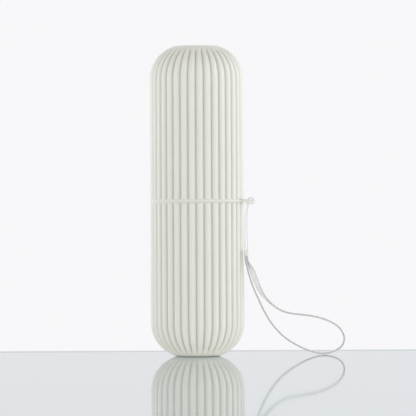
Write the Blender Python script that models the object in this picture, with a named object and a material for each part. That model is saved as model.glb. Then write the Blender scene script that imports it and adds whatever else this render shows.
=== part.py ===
"""Travel toothbrush cup: two ribbed cups pushed onto a joining ring, a brush rack inside and a wrist strap.

Metres, +Z up. The origin is the centre of the flat end that the case stands on, and the ear for the
strap points along +X.
"""

import math

import bmesh
import bpy
from mathutils import Matrix, Vector

# The whole case, standing on end
TOTAL_HEIGHT = 0.205
CREST_RADIUS = 0.031
CORNER_RADIUS = 0.023
END_FLAT_OVERHANG = 0.0065  # how far the flat end reaches out past the centre of the corner's arc
CORNER_STEPS = 6

# Ribs of both cups: shares run across one rib, from groove to groove
RIB_COUNT = 36
RIB_DEPTH = 0.0012
RIB_RUN_OUT = 0.0075  # how far from the flat end's edge a groove keeps its whole depth
RIB_SHARES = (0.0, 0.22, 0.5, 0.78)

# Walls of both cups
THINNEST_WALL = 0.0018  # behind a groove
FLOOR_THICKNESS = 0.0024
BORE_SIDES = 72
BORE_CORNER_STEPS = 5

# Clearances
SEAT_GAP = 0.0003  # between pieces that touch
FIT_CLEARANCE = 0.0005  # between a collar and the bore that slides over it
CUT_OVERRUN = 0.001
SHARP_ANGLE = math.radians(35)  # edges that turn more than this stay crisp

# Joining ring
ROUND_SIDES = 54
FLANGE_HEIGHT = 0.0020
FLANGE_EASE = 0.0003
COLLAR_HEIGHT = 0.0100
COLLAR_LEAD_IN = 0.0008
COLLAR_WALL = 0.0011  # behind a seal
LEDGE_THICKNESS = 0.0012
LEDGE_WIDTH = 0.0012

# Seals
SEAL_THICKNESS = 0.0012
SEAL_SIDES = 6
SEAL_ABOVE_FLANGE = 0.0052

# Ear for the strap
EAR_REACH = 0.0035  # from the flange to the eyelet's centre
EAR_HALF_WIDTH = 0.0035
EAR_THICKNESS = 0.0018
EAR_FLARE = 0.0020
EAR_ROOT_DEPTH = 0.0015
EAR_STEPS = 12
EYELET_RADIUS = 0.0017
EYELET_EASE = 0.0003
EYELET_SIDES = 24

# Brush rack
RACK_CLEARANCE = 0.0004
RACK_HEIGHT = 0.0160
RACK_PLATE = 0.0016
RACK_SKIRT = 0.0013
RACK_EDGE_WEB = 0.0020
RACK_CROSS_WEB = 0.0040
SLEEVE_WALL = 0.0010
SLEEVE_DEPTH = 0.0050  # below the plate
HOLE_STEPS = 12  # along half a circle

# Strap
STRAP_BEARING = math.radians(16.5)  # from +X, the way the strap's loop leans round the case
STRING_DIAMETER = 0.0008
CRIMP_FROM_CREST = 0.0026
CRIMP_BELOW_SEAM = 0.0344
CRIMP_THICKNESS = 0.0029
CRIMP_WIDTH = 0.0042
CRIMP_LENGTH = 0.0042
CRIMP_CORNER = 0.0008
CRIMP_EASE = 0.0003
BEVEL_STEPS = 2
BAND_WIDTH = 0.0036
BAND_THICKNESS = 0.0010
STRING_SPAN_STEPS = 2
BAND_SPAN_STEPS = 2
CORD_SECTION_STEPS = 2

# One standing strand of the string, from the crimp up to the ear: x, y, z from the eyelet's centre
STRING_NEAR_STRAND = (
    (-0.00008, 0.00024, -0.0320),
    (-0.00010, 0.00032, -0.0275),
    (-0.00030, 0.00045, -0.0210),
    (-0.00045, 0.00052, -0.0140),
    (-0.00030, 0.00056, -0.0085),
    (0.00025, 0.00058, -0.0045),
)
# Half of the hitch: up through the eyelet, over the ear's outer bar, down, and back under it
STRING_HITCH_HALF = (
    (0.00066, 0.00058, -0.0020),
    (0.00062, 0.00058, 0.0000),
    (0.00108, 0.00062, 0.00148),
    (0.00260, 0.00075, 0.00190),
    (0.00400, 0.00090, 0.00140),
    (0.00452, 0.00105, 0.0000),
    (0.00405, 0.00128, -0.00140),
    (0.00270, 0.00155, -0.00185),
    (0.00120, 0.00175, -0.00185),
    (-0.00015, 0.00143, -0.00190),
    (-0.00072, 0.00075, -0.00195),
)
STRING_HITCH_MIDDLE = (-0.00088, 0.0, -0.00195)
STRING_FAR_STRAND = (
    (-0.00010, -0.00058, -0.0045),
    (-0.00100, -0.00056, -0.0085),
    (-0.00145, -0.00052, -0.0140),
    (-0.00155, -0.00045, -0.0210),
    (-0.00168, -0.00032, -0.0275),
    (-0.00172, -0.00024, -0.0320),
)
# The band from the crimp and back, in the strap's own frame: out, back and up from the crimp's
# centre, and how far the band is twisted from flat against the crimp, in degrees
BAND_ROUTE = (
    (-0.00065, 0.0000, -0.00242, 0),
    (-0.00056, 0.0000, -0.0045, 0),
    (-0.00020, 0.0002, -0.0066, 0),
    (0.0005, 0.0006, -0.0092, 0),
    (0.0014, 0.0009, -0.0131, 0),
    (0.0028, 0.0016, -0.0177, 0),
    (0.0046, 0.0025, -0.0230, 0),
    (0.0077, 0.0042, -0.0300, 0),
    (0.0114, 0.0061, -0.0380, 0),
    (0.0166, 0.0088, -0.0467, 0),
    (0.0246, 0.0131, -0.0556, 0),
    (0.0348, 0.0186, -0.0623, 0),
    (0.0440, 0.0236, -0.0661, 0),
    (0.0512, 0.0271, -0.0673, 0),
    (0.0576, 0.0303, -0.0665, 0),
    (0.0626, 0.0329, -0.0641, 0),
    (0.0651, 0.0344, -0.0608, 0),
    (0.0655, 0.0347, -0.0572, 0),
    (0.0642, 0.0340, -0.0534, 0),
    (0.0608, 0.0323, -0.0494, 0),
    (0.0544, 0.0289, -0.0457, 0),
    (0.0465, 0.0247, -0.0431, 0),
    (0.0386, 0.0205, -0.0417, 0),
    (0.0295, 0.0157, -0.0404, 0),
    (0.0235, 0.0125, -0.0386, 10),
    (0.0176, 0.0095, -0.0349, 35),
    (0.0123, 0.0068, -0.0298, 65),
    (0.0090, 0.0052, -0.0247, 80),
    (0.0065, 0.0040, -0.0190, 80),
    (0.0044, 0.0028, -0.0135, 60),
    (0.0029, 0.0017, -0.0097, 30),
    (0.0015, 0.0006, -0.0068, 8),
    (0.0008, 0.0001, -0.0045, 0),
    (0.00065, 0.0000, -0.00242, 0),
)

# Sizes that follow
SEAM_HEIGHT = TOTAL_HEIGHT / 2
CUP_HEIGHT = SEAM_HEIGHT - FLANGE_HEIGHT / 2 - SEAT_GAP
CORNER_CENTRE = CREST_RADIUS - CORNER_RADIUS
CORNER_RISE = math.sqrt(CORNER_RADIUS**2 - END_FLAT_OVERHANG**2)
BORE_RADIUS = CREST_RADIUS - RIB_DEPTH - THINNEST_WALL
BORE_CORNER_RADIUS = BORE_RADIUS - CORNER_CENTRE
COLLAR_RADIUS = BORE_RADIUS - FIT_CLEARANCE
SEAL_RADIUS = BORE_RADIUS - SEAT_GAP - SEAL_THICKNESS / 2
SEAL_GROOVE_RADIUS = SEAL_RADIUS - SEAL_THICKNESS / 2 - SEAT_GAP
SEAL_GROOVE_HALF = SEAL_THICKNESS / 2 + SEAT_GAP
SEAL_HEIGHT = FLANGE_HEIGHT / 2 + SEAL_ABOVE_FLANGE
RING_BORE_RADIUS = SEAL_GROOVE_RADIUS - COLLAR_WALL
COLLAR_TOP = FLANGE_HEIGHT / 2 + COLLAR_HEIGHT
EYELET_CENTRE = CREST_RADIUS + EAR_REACH
RACK_RADIUS = RING_BORE_RADIUS - RACK_CLEARANCE
RACK_BASE = SEAT_GAP + LEDGE_THICKNESS - COLLAR_TOP
CRIMP_CENTRE = CREST_RADIUS + CRIMP_FROM_CREST


def clear_scene():
    for old in list(bpy.data.objects):
        bpy.data.objects.remove(old, do_unlink=True)


def plastic(name, colour, roughness, metallic=0.0):
    """A material with one Principled shader."""
    made = bpy.data.materials.new(name)
    made.use_nodes = True
    shader = made.node_tree.nodes["Principled BSDF"]
    shader.inputs["Base Color"].default_value = (*colour, 1.0)
    shader.inputs["Roughness"].default_value = roughness
    shader.inputs["Metallic"].default_value = metallic
    return made


def placed(name, data, material=None, parent=None, place=(0, 0, 0), turn=(0, 0, 0)):
    """A named object of that mesh or curve, placed under its parent."""
    made = bpy.data.objects.new(name, data)
    bpy.context.scene.collection.objects.link(made)
    made.parent = parent
    made.location = place
    made.rotation_euler = turn
    if material and not data.materials:
        data.materials.append(material)
    return made


def frame(name, parent=None, place=(0, 0, 0), turn=(0, 0, 0)):
    """An empty that carries pieces."""
    return placed(name, None, parent=parent, place=place, turn=turn)


def guide(name, mesh, parent):
    """A solid that only shapes its neighbour, and is no piece of its own."""
    made = placed(name, mesh, parent=parent)
    made.hide_render = True
    made.display_type = "WIRE"
    return made


def shaped_by(piece, tool, operation):
    """Joins the guide to the piece, or cuts it away."""
    change = piece.modifiers.new(tool.name, "BOOLEAN")
    change.operation = operation
    change.object = tool


def smooth(mesh):
    mesh.shade_smooth()
    mesh.set_sharp_from_angle(angle=SHARP_ANGLE)
    return mesh


def finished(name, shape):
    """The bmesh as a smooth mesh with its faces pointing out."""
    bmesh.ops.recalc_face_normals(shape, faces=shape.faces)
    mesh = bpy.data.meshes.new(name)
    shape.to_mesh(mesh)
    shape.free()
    return smooth(mesh)


def closed_loop(shape, points):
    """A ring of edges through the points, without a face."""
    corners = [shape.verts.new(point) for point in points]
    return [shape.edges.new((corners[i - 1], corners[i])) for i in range(len(corners))]


def round_loop(shape, radius, height, sides):
    turns = (math.tau * i / sides for i in range(sides))
    return closed_loop(shape, [(radius * math.cos(a), radius * math.sin(a), height) for a in turns])


def skin(shape, loops):
    """Faces from each loop to the next."""
    for lower, upper in zip(loops, loops[1:], strict=False):
        bmesh.ops.bridge_loops(shape, edges=lower + upper)


def rim(shape, outer, inner):
    """A flat ring between two level loops."""
    bmesh.ops.triangle_fill(shape, edges=outer + inner, use_beauty=True, normal=(0, 0, 1))


def turned(name, outline, sides):
    """The closed outline of (radius, height) points, turned about Z."""
    shape = bmesh.new()
    edges = closed_loop(shape, [(radius, 0, height) for radius, height in outline])
    bmesh.ops.spin(
        shape,
        geom=list(shape.verts) + edges,
        cent=(0, 0, 0),
        axis=(0, 0, 1),
        angle=math.tau,
        steps=sides,
        use_merge=True,
    )
    return finished(name, shape)


def arc(centre, radius, start, sweep, steps):
    """Points in the XY plane along an arc, both ends included; angles in degrees."""
    turns = (math.radians(start + sweep * i / steps) for i in range(steps + 1))
    return [(centre[0] + radius * math.cos(a), centre[1] + radius * math.sin(a)) for a in turns]


def add_prism(shape, outline, bottom, top):
    """An upright solid of that outline."""
    base = shape.faces.new([shape.verts.new((x, y, bottom)) for x, y in outline])
    raised = bmesh.ops.extrude_face_region(shape, geom=[base], use_keep_orig=True)
    corners = [item for item in raised["geom"] if isinstance(item, bmesh.types.BMVert)]
    bmesh.ops.translate(shape, verts=corners, vec=(0, 0, top - bottom))


def rib_depth_at(lean):
    """A groove's depth where the wall's outward direction leans down by that angle: none at the flat end."""
    past_flat = CORNER_RADIUS * math.cos(lean) - END_FLAT_OVERHANG
    return RIB_DEPTH * min(1.0, max(0.0, past_flat / RIB_RUN_OUT))


def ribbed_loop(shape, height, lean):
    """The ribbed outline, with the corner's arc centred at that height."""
    points = []
    for rib in range(RIB_COUNT):
        for share in RIB_SHARES:
            angle = math.tau * (rib + share - 0.5) / RIB_COUNT
            reach = CORNER_RADIUS - rib_depth_at(lean) * (2 * share - 1) ** 2
            radius = CORNER_CENTRE + reach * math.cos(lean)
            points.append(
                (radius * math.cos(angle), radius * math.sin(angle), height - reach * math.sin(lean))
            )
    return closed_loop(shape, points)


def cup_mesh():
    """One cup, standing on its flat end with its mouth up."""
    shape = bmesh.new()
    last_lean = math.acos(END_FLAT_OVERHANG / CORNER_RADIUS)
    leans = [last_lean * i / CORNER_STEPS for i in range(CORNER_STEPS + 1)]
    outside = [ribbed_loop(shape, CUP_HEIGHT, 0)]
    outside += [ribbed_loop(shape, CORNER_RISE, lean) for lean in leans]
    bore_last = math.asin((CORNER_RISE - FLOOR_THICKNESS) / BORE_CORNER_RADIUS)
    bore_leans = [bore_last * i / BORE_CORNER_STEPS for i in range(BORE_CORNER_STEPS + 1)]
    inside = [round_loop(shape, BORE_RADIUS, CUP_HEIGHT, BORE_SIDES)]
    for lean in bore_leans:
        radius = CORNER_CENTRE + BORE_CORNER_RADIUS * math.cos(lean)
        height = CORNER_RISE - BORE_CORNER_RADIUS * math.sin(lean)
        inside.append(round_loop(shape, radius, height, BORE_SIDES))
    skin(shape, outside)
    skin(shape, inside)
    rim(shape, outside[0], inside[0])
    bmesh.ops.edgeloop_fill(shape, edges=outside[-1])
    bmesh.ops.edgeloop_fill(shape, edges=inside[-1])
    return finished("cup", shape)


def ring_outline():
    """Half the joining ring's section about the seam: its outer side from the top collar down, then its bore."""
    half_flange = FLANGE_HEIGHT / 2
    upper = [
        (COLLAR_RADIUS - COLLAR_LEAD_IN, COLLAR_TOP),
        (COLLAR_RADIUS, COLLAR_TOP - 2 * COLLAR_LEAD_IN),
        (COLLAR_RADIUS, SEAL_HEIGHT + SEAL_GROOVE_HALF),
        (SEAL_GROOVE_RADIUS, SEAL_HEIGHT + SEAL_GROOVE_HALF),
        (SEAL_GROOVE_RADIUS, SEAL_HEIGHT - SEAL_GROOVE_HALF),
        (COLLAR_RADIUS, SEAL_HEIGHT - SEAL_GROOVE_HALF),
        (COLLAR_RADIUS, half_flange),
        (CREST_RADIUS - FLANGE_EASE, half_flange),
        (CREST_RADIUS, half_flange - FLANGE_EASE),
    ]
    lower = [(radius, -height) for radius, height in reversed(upper)]
    bore = [
        (RING_BORE_RADIUS - LEDGE_WIDTH, -COLLAR_TOP),
        (RING_BORE_RADIUS - LEDGE_WIDTH, LEDGE_THICKNESS - COLLAR_TOP),
        (RING_BORE_RADIUS, LEDGE_THICKNESS - COLLAR_TOP),
        (RING_BORE_RADIUS, COLLAR_TOP),
    ]
    return upper + lower + bore


def ear_mesh():
    """The flat ear, flared where it grows out of the flange."""
    root = CREST_RADIUS - EAR_ROOT_DEPTH
    flare_x = CREST_RADIUS - EAR_ROOT_DEPTH / 3 + EAR_FLARE
    flare_y = EAR_HALF_WIDTH + EAR_FLARE
    right = arc((flare_x, -flare_y), EAR_FLARE, 180, -90, EAR_STEPS // 3)
    tip = arc((EYELET_CENTRE, 0), EAR_HALF_WIDTH, -90, 180, EAR_STEPS)
    left = arc((flare_x, flare_y), EAR_FLARE, 270, -90, EAR_STEPS // 3)
    shape = bmesh.new()
    outline = [(root, -flare_y), *right, *tip, *left, (root, flare_y)]
    add_prism(shape, outline, -EAR_THICKNESS / 2, EAR_THICKNESS / 2)
    return finished("ear", shape)


def eyelet_mesh():
    """The eyelet's cutter, wider at both faces of the ear."""
    shape = bmesh.new()
    face = EAR_THICKNESS / 2
    wide = EYELET_RADIUS + EYELET_EASE
    stations = (
        (wide, -face - CUT_OVERRUN),
        (wide, -face),
        (EYELET_RADIUS, EYELET_EASE - face),
        (EYELET_RADIUS, face - EYELET_EASE),
        (wide, face),
        (wide, face + CUT_OVERRUN),
    )
    loops = [round_loop(shape, radius, height, EYELET_SIDES) for radius, height in stations]
    skin(shape, loops)
    bmesh.ops.edgeloop_fill(shape, edges=loops[0])
    bmesh.ops.edgeloop_fill(shape, edges=loops[-1])
    bmesh.ops.translate(shape, verts=shape.verts, vec=(EYELET_CENTRE, 0, 0))
    return finished("eyelet_cut", shape)


def seal_outline():
    """A round cord section with a side facing the bore."""
    turns = (math.tau * (i + 0.5) / SEAL_SIDES for i in range(SEAL_SIDES))
    half = SEAL_THICKNESS / 2
    return [(SEAL_RADIUS + half * math.cos(a), half * math.sin(a)) for a in turns]


def rack_openings(wall):
    """Outlines of the rack's two brush holes and its paste slot, each larger by that wall."""
    inner = RACK_RADIUS - RACK_SKIRT
    hole = (inner - RACK_EDGE_WEB - RACK_CROSS_WEB / math.sqrt(2)) / (1 + math.sqrt(2))
    centre = hole + RACK_CROSS_WEB / 2
    reach = hole + wall
    whole = 2 * HOLE_STEPS
    left_hole = arc((-centre, -centre), reach, 0, 360, whole)[:-1]
    right_hole = arc((centre, -centre), reach, 0, 360, whole)[:-1]
    slot = arc((centre, centre), reach, -90, 180, HOLE_STEPS)
    slot += arc((-centre, centre), reach, 90, 180, HOLE_STEPS)
    return left_hole, right_hole, slot


def rack_prisms(name, wall, bottom, top):
    shape = bmesh.new()
    for outline in rack_openings(wall):
        add_prism(shape, outline, bottom, top)
    return finished(name, shape)


def rack_mesh():
    """The rack's plate and skirt, from its bottom edge at zero height."""
    outer = RACK_RADIUS
    inner = RACK_RADIUS - RACK_SKIRT
    shape = bmesh.new()
    outside = [round_loop(shape, outer, 0, ROUND_SIDES), round_loop(shape, outer, RACK_HEIGHT, ROUND_SIDES)]
    under_plate = round_loop(shape, inner, RACK_HEIGHT - RACK_PLATE, ROUND_SIDES)
    inside = [round_loop(shape, inner, 0, ROUND_SIDES), under_plate]
    skin(shape, outside)
    skin(shape, inside)
    rim(shape, outside[0], inside[0])
    bmesh.ops.edgeloop_fill(shape, edges=outside[1])
    bmesh.ops.edgeloop_fill(shape, edges=under_plate)
    return finished("rack", shape)


def crimp_mesh():
    """A small block with rounded upright corners and eased rims."""
    shape = bmesh.new()
    size = Matrix.Diagonal((CRIMP_THICKNESS, CRIMP_WIDTH, CRIMP_LENGTH, 1))
    bmesh.ops.create_cube(shape, size=1, matrix=size)
    upright = [e for e in shape.edges if e.verts[0].co.xy == e.verts[1].co.xy]
    bevel(shape, upright, CRIMP_CORNER)
    rims = [e for e in shape.edges if e.verts[0].co.z == e.verts[1].co.z]
    bevel(shape, rims, CRIMP_EASE)
    return finished("crimp", shape)


def bevel(shape, edges, width):
    bmesh.ops.bevel(
        shape, geom=edges, offset=width, segments=BEVEL_STEPS, profile=0.5, affect="EDGES", material=-1
    )


def through(route, span_steps):
    """Points on one smooth curve through the route's points (Catmull-Rom), with that many to each span."""
    rows = [Vector(row) for row in route]
    rows = [2 * rows[0] - rows[1], *rows, 2 * rows[-1] - rows[-2]]
    points = []
    for before, start, end, after in zip(rows, rows[1:], rows[2:], rows[3:], strict=False):
        for i in range(span_steps):
            t = i / span_steps
            square = t * t
            cube = square * t
            point = start * (2 - 5 * square + 3 * cube) + end * (t + 4 * square - 3 * cube)
            points.append((point + before * (2 * square - t - cube) + after * (cube - square)) / 2)
    return [*points, rows[-2]]


def cord(name, points, tilts, thickness, width=None):
    """A tube along the points with closed ends; a flat one if its width is given."""
    curve = bpy.data.curves.new(name, "CURVE")
    curve.dimensions = "3D"
    curve.twist_mode = "Z_UP" if width else "MINIMUM"
    curve.bevel_depth = thickness / 2
    curve.bevel_resolution = CORD_SECTION_STEPS
    curve.use_fill_caps = True
    if width:
        curve.extrude = (width - thickness) / 2
    spline = curve.splines.new("POLY")
    spline.points.add(len(points) - 1)
    for place, point, tilt in zip(spline.points, points, tilts, strict=True):
        place.co = (*point, 1.0)
        place.tilt = tilt
    return curve


def string_curve():
    hitch = [
        *STRING_HITCH_HALF,
        STRING_HITCH_MIDDLE,
        *((x, -y, z) for x, y, z in reversed(STRING_HITCH_HALF)),
    ]
    points = through([*STRING_NEAR_STRAND, *hitch, *STRING_FAR_STRAND], STRING_SPAN_STEPS)
    return cord("string", points, [0.0] * len(points), STRING_DIAMETER)


def band_curve():
    """The band lies in its curve's XY plane, with its width along Z."""
    rows = through([(out, up, -back) for out, back, up, _ in BAND_ROUTE], BAND_SPAN_STEPS)
    twists = through([(math.radians(twist), 0, 0) for *_, twist in BAND_ROUTE], BAND_SPAN_STEPS)
    return cord("band", rows, [twist.x for twist in twists], BAND_THICKNESS, BAND_WIDTH)


def build_cups(material):
    mesh = cup_mesh()
    placed("lower_cup", mesh, material)
    placed("upper_cup", mesh, material, place=(0, 0, TOTAL_HEIGHT), turn=(math.pi, 0, 0))


def build_ring(material, soft_material):
    seam = frame("seam_frame", place=(0, 0, SEAM_HEIGHT))
    ring = placed("joining_ring", turned("ring", ring_outline(), ROUND_SIDES), material, seam)
    shaped_by(ring, guide("ear_shape", ear_mesh(), seam), "UNION")
    shaped_by(ring, guide("eyelet_cut", eyelet_mesh(), seam), "DIFFERENCE")
    seal = turned("seal", seal_outline(), ROUND_SIDES)
    placed("upper_seal", seal, soft_material, seam, place=(0, 0, SEAL_HEIGHT))
    placed("lower_seal", seal, soft_material, seam, place=(0, 0, -SEAL_HEIGHT))
    return seam


def build_rack(material, seam):
    base = frame("rack_frame", seam, place=(0, 0, RACK_BASE))
    rack = placed("brush_rack", rack_mesh(), material, base)
    under_plate = RACK_HEIGHT - RACK_PLATE
    sleeves = rack_prisms("sleeve_shape", SLEEVE_WALL, under_plate - SLEEVE_DEPTH, RACK_HEIGHT - RACK_PLATE / 2)
    holes = rack_prisms("hole_cut", 0, -CUT_OVERRUN, RACK_HEIGHT + CUT_OVERRUN)
    shaped_by(rack, guide("sleeve_shape", sleeves, base), "UNION")
    shaped_by(rack, guide("hole_cut", holes, base), "DIFFERENCE")


def build_strap(material, crimp_material, seam):
    eyelet = frame("eyelet_frame", seam, place=(EYELET_CENTRE, 0, 0))
    placed("strap_string", string_curve(), material, eyelet)
    hang = frame(
        "strap_frame", seam, place=(CRIMP_CENTRE, 0, -CRIMP_BELOW_SEAM), turn=(0, 0, STRAP_BEARING)
    )
    placed("strap_crimp", crimp_mesh(), crimp_material, hang)
    placed("wrist_band", band_curve(), material, hang, turn=(math.pi / 2, 0, 0))


def main():
    clear_scene()
    ivory = plastic("ivory_plastic", (0.80, 0.80, 0.75), 0.42)
    ring_ivory = plastic("ring_ivory_plastic", (0.78, 0.78, 0.73), 0.42)
    silicone = plastic("clear_white_silicone", (0.80, 0.80, 0.78), 0.55)
    rack_white = plastic("rack_white_plastic", (0.82, 0.82, 0.80), 0.38)
    woven = plastic("woven_white_nylon", (0.76, 0.76, 0.75), 0.85)
    crimp_white = plastic("crimp_white_plastic", (0.85, 0.85, 0.84), 0.30)
    build_cups(ivory)
    seam = build_ring(ring_ivory, silicone)
    build_rack(rack_white, seam)
    build_strap(woven, crimp_white, seam)


main()
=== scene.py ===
"""A travel toothbrush cup: two ribbed cups on a joining ring, a brush rack inside and a wrist strap.

Metres, +Z up. The case stands on the origin, and the ear for the strap points along +X.
"""

import math

import bmesh
import bpy
from bpy.props import FloatProperty, FloatVectorProperty, IntProperty, PointerProperty
from bpy.types import Operator, Panel, PropertyGroup
from mathutils import Matrix, Vector


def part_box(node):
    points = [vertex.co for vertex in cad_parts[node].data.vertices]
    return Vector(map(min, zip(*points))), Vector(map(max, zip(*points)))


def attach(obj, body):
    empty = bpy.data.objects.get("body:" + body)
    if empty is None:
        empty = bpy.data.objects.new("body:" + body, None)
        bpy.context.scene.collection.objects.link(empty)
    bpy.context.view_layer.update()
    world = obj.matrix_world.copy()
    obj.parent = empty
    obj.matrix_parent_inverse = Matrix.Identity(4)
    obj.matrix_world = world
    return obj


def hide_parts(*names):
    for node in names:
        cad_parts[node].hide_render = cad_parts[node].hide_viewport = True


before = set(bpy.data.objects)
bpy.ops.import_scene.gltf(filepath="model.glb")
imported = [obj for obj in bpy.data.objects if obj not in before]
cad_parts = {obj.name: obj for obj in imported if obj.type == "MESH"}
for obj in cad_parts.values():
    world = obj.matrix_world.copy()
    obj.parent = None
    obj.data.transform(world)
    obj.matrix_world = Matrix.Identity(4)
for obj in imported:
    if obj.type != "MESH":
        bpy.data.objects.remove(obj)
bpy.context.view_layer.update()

bl_info = {
    "name": "Travel toothbrush cup",
    "version": (1, 0, 0),
    "blender": (4, 5, 0),
    "location": "3D View > Sidebar > Toothbrush cup",
    "description": "Builds a ribbed travel toothbrush cup with its brush rack and wrist strap, and the studio round it",
    "category": "Add Mesh",
}

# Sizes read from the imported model
CREST_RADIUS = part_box("lower_cup")[1].x
TOTAL_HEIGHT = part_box("upper_cup")[1].z
SEAM_HEIGHT = TOTAL_HEIGHT / 2
COLLAR_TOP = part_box("joining_ring")[1].z - SEAM_HEIGHT
RACK_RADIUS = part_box("brush_rack")[1].x
RACK_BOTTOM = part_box("brush_rack")[0].z
RACK_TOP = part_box("brush_rack")[1].z
SEAL_OFFSET = (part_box("upper_seal")[0].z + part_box("upper_seal")[1].z) / 2 - SEAM_HEIGHT

# Sizes of the cups that the box doesn't give
CORNER_RADIUS = 0.023
CORNER_CENTRE = CREST_RADIUS - CORNER_RADIUS
END_FLAT_OVERHANG = 0.0065
CORNER_RISE = math.sqrt(CORNER_RADIUS**2 - END_FLAT_OVERHANG**2)
BORE_RADIUS = 0.028
FLOOR_THICKNESS = 0.0024
RIB_RUN_OUT = 0.0075
BORE_CORNER = BORE_RADIUS - CORNER_CENTRE
WALL_MIDDLE = (CREST_RADIUS + BORE_RADIUS) / 2
GROOVE_LINE_START = 0.8
GROOVE_END_ROWS = (0.55, 0.8, 1.1, 1.7)
WALL_ROWS = (0.75, 0.5, 0.25)
GATE_DEPTH = 0.00012
GATE_FLARE = 1.15

# The joining ring, its ear and its seals
COLLAR_RADIUS = 0.0275
COLLAR_LEAD_IN = 0.0008
HALF_FLANGE = 0.0010
RING_EASE = 0.00012
SEAL_GROOVE_RADIUS = 0.0262
SEAL_GROOVE_HALF = 0.0009
RING_BORE_RADIUS = 0.0251
LEDGE = 0.0012
SEAL_RADIUS = 0.0271
SEAL_HALF = 0.0006
EYELET_CENTRE = 0.0345
EYELET_RADIUS = 0.0017
EAR_ROOT = 0.0295
EAR_MIDDLE = EAR_ROOT + 0.002
EAR_HALF_WIDTH = 0.0035
EAR_HALF_THICKNESS = 0.0009
EAR_FLARE = 0.0020
EAR_FLARE_START = 0.0305
EAR_EASE = 0.0004

# The rack's plate, skirt and sleeves
RACK_SKIRT = 0.0013
RACK_PLATE = 0.0016
RACK_EDGE_WEB = 0.0020
RACK_CROSS_WEB = 0.0040
SLEEVE_WALL = 0.0010
SLEEVE_DEPTH = 0.0050
RACK_EASE = 0.0004
RACK_FINE_EASE = 0.00025

# The strap's crimp, and the bearing that it and the band face
CRIMP_PLACE = (0.0336, 0.0, SEAM_HEIGHT - 0.0344)
CRIMP_SIZE = (0.0029, 0.0042, 0.0042)
CRIMP_CORNER = 0.0008
CRIMP_EASE = 0.0004
STRAP_BEARING = math.radians(16.5)

# The string's points from the eyelet's middle: out along the ear, across it and up
STRING_NEAR_STRAND = (
    (-0.00010, 0.00022, -0.0334),
    (-0.00008, 0.00024, -0.0320),
    (-0.00010, 0.00032, -0.0275),
    (-0.00030, 0.00045, -0.0210),
    (-0.00045, 0.00052, -0.0140),
    (-0.00030, 0.00056, -0.0085),
    (0.00025, 0.00058, -0.0045),
)
STRING_HITCH_HALF = (
    (0.00066, 0.00058, -0.0020),
    (0.00062, 0.00058, 0.0000),
    (0.00108, 0.00062, 0.00148),
    (0.00260, 0.00075, 0.00190),
    (0.00400, 0.00090, 0.00140),
    (0.00452, 0.00105, 0.0000),
    (0.00405, 0.00128, -0.00140),
    (0.00270, 0.00155, -0.00185),
    (0.00120, 0.00175, -0.00185),
    (-0.00015, 0.00143, -0.00190),
    (-0.00072, 0.00075, -0.00195),
)
STRING_HITCH_MIDDLE = (-0.00088, 0.0, -0.00195)
STRING_FAR_STRAND = (
    (-0.00010, -0.00058, -0.0045),
    (-0.00100, -0.00056, -0.0085),
    (-0.00145, -0.00052, -0.0140),
    (-0.00155, -0.00045, -0.0210),
    (-0.00168, -0.00032, -0.0275),
    (-0.00172, -0.00024, -0.0320),
    (-0.00170, -0.00022, -0.0334),
)

# The band's points from the crimp's middle on the strap's bearing: right, back and up, and the twist in degrees
BAND_ROUTE = (
    (-0.00065, 0.0000, -0.00120, 0),
    (-0.00065, 0.0000, -0.00242, 0),
    (-0.00056, 0.0000, -0.0045, 0),
    (-0.00020, 0.0002, -0.0066, 0),
    (0.0005, 0.0006, -0.0092, 0),
    (0.0014, 0.0009, -0.0131, 0),
    (0.0028, 0.0016, -0.0177, 0),
    (0.0046, 0.0025, -0.0230, 0),
    (0.0077, 0.0042, -0.0300, 0),
    (0.0114, 0.0061, -0.0380, 0),
    (0.0166, 0.0088, -0.0467, 0),
    (0.0246, 0.0131, -0.0556, 0),
    (0.0348, 0.0186, -0.0623, 0),
    (0.0440, 0.0236, -0.0662, 0),
    (0.0512, 0.0271, -0.0675, 0),
    (0.0576, 0.0303, -0.0666, 0),
    (0.0626, 0.0329, -0.0641, 0),
    (0.0651, 0.0344, -0.0608, 0),
    (0.0655, 0.0347, -0.0572, 0),
    (0.0642, 0.0340, -0.0534, 0),
    (0.0608, 0.0323, -0.0494, 0),
    (0.0544, 0.0289, -0.0457, 0),
    (0.0465, 0.0247, -0.0431, 0),
    (0.0386, 0.0205, -0.0417, 0),
    (0.0295, 0.0157, -0.0404, 0),
    (0.0235, 0.0125, -0.0386, 0),
    (0.0176, 0.0095, -0.0349, 6),
    (0.0123, 0.0068, -0.0298, 22),
    (0.0090, 0.0052, -0.0247, 45),
    (0.0065, 0.0040, -0.0190, 64),
    (0.0044, 0.0028, -0.0135, 64),
    (0.0029, 0.0017, -0.0097, 36),
    (0.0015, 0.0006, -0.0068, 10),
    (0.0008, 0.0001, -0.0045, 0),
    (0.00065, 0.0000, -0.00242, 0),
    (0.00065, 0.0000, -0.00120, 0),
)

# How finely the shapes are divided, and how close points lie that are one
EASE_STEPS = 3
BORE_CORNER_STEPS = 10
CORNER_STEPS = 24
RING_STEPS = 216
EAR_STEPS = 96
SEAL_STEPS = 180
SEAL_SIDES = 16
RACK_STEPS = 180
HOLE_STEPS = 64
STRING_SPAN_STEPS = 24
STEPS_PER_TWIST = 20
BAND_SPAN_STEPS = 8
DECIMALS = 7
MERGE = 1e-7

# The sections of the string and the band, and the band's weave
PLY_SIDES = 18
PLY_HOLLOW = 0.07
BAND_SIDES = 28
BAND_SQUARENESS = 0.55
BAND_HOLLOW = 0.12
BAND_HOLLOW_SPAN = 2.6
YARN_SPACING = 0.9
THREAD_CROWN = 0.35
# Where the painted shade along the band's selvedges begins and where it is full
SELVEDGE_SHADE_REACH = (0.74, 0.86)

# Painted shade in the grooves: what it leaves of the plastic's red, green and blue
GROOVE_PAINTED_SHADE = (0.68, 0.68, 0.65)

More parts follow.
